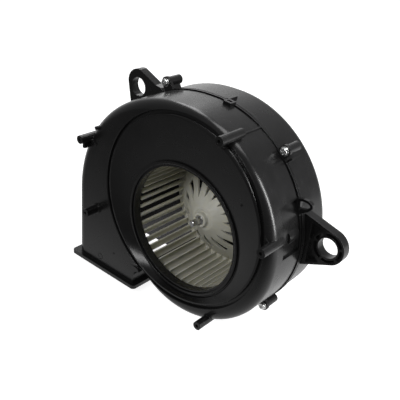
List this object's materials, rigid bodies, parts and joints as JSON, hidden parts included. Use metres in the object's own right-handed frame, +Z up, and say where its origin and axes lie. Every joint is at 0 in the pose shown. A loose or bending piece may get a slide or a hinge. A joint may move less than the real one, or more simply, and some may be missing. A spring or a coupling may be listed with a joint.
{
  "type": "combustion fan",
  "caption": "Centrifugal scroll blower: a black two-shell volute with a round inlet, flanged outlet, mounting lugs and a spinning blade wheel on its own motor.",
  "frame": {"origin": "on the fan axis, in the plane of the inlet throat", "axes": "-Y out of the inlet along the fan axis, -Z out of the outlet, +X to the right seen from the inlet, +Z up"},
  "size_m": [0.2857, 0.1448, 0.2156],
  "materials": {
    "black_pp": "satin moulded black polypropylene",
    "natural_pp": "natural translucent moulded polypropylene, satin",
    "zinc_screw": "bright zinc plate",
    "steel": "bright spring and shaft steel",
    "can_steel": "zinc-coated drawn steel",
    "magnet_ferrite": "sintered ferrite",
    "bronze": "sintered bronze",
    "laminations": "varnished stacked laminations",
    "copper": "enamelled and bare copper",
    "carbon": "sintered carbon",
    "brass": "stamped brass",
    "card_phenolic": "pressed phenolic board",
    "isolator_rubber": "soft moulded rubber",
    "connector_nylon": "natural nylon",
    "wire_red": "PVC insulation",
    "wire_black": "PVC insulation"
  },
  "bodies": {
    "housing": {"front_shell": "black_pp", "rear_shell": "black_pp", "housing_screws": "zinc_screw", "motor_can": "can_steel", "motor_end_cap": "can_steel", "front_bearing": "bronze", "rear_bearing": "bronze", "bearing_retainers": "steel", "magnet_right": "magnet_ferrite", "magnet_left": "magnet_ferrite", "magnet_springs": "steel", "brush_card": "card_phenolic", "brush_box_upper": "brass", "brush_spring_upper": "steel", "brush_box_lower": "brass", "brush_spring_lower": "steel", "choke_coils": "copper", "motor_terminals": "brass", "motor_holder": "black_pp", "motor_holder_screws": "zinc_screw", "isolator_front": "isolator_rubber", "isolator_rear": "isolator_rubber", "motor_retainer": "steel", "retainer_screws": "zinc_screw", "connector_housing": "connector_nylon", "connector_pins": "brass", "lead_negative": "wire_black", "lead_positive": "wire_red"},
    "rotor": {"impeller": "natural_pp", "motor_shaft": "steel", "hub_retaining_ring": "steel", "armature_core": "laminations", "armature_windings": "copper", "commutator": "copper", "thrust_washers": "steel"},
    "brush_top": {"brush_upper": "carbon"},
    "brush_bottom": {"brush_lower": "carbon"}
  },
  "joints": [
    {"name": "impeller_spin", "type": "hinge", "parent": "housing", "child": "rotor", "pos_m": [0, 0, 0], "axis": [0, -1, 0], "continuous": true},
    {"name": "brush_upper_slide", "type": "slide", "parent": "housing", "child": "brush_top", "axis": [0, 0, 1], "range_m": [0, 0.003], "deforming": ["brush_spring_upper"]},
    {"name": "brush_lower_slide", "type": "slide", "parent": "housing", "child": "brush_bottom", "axis": [0, 0, -1], "range_m": [0, 0.003], "deforming": ["brush_spring_lower"]}
  ]
}
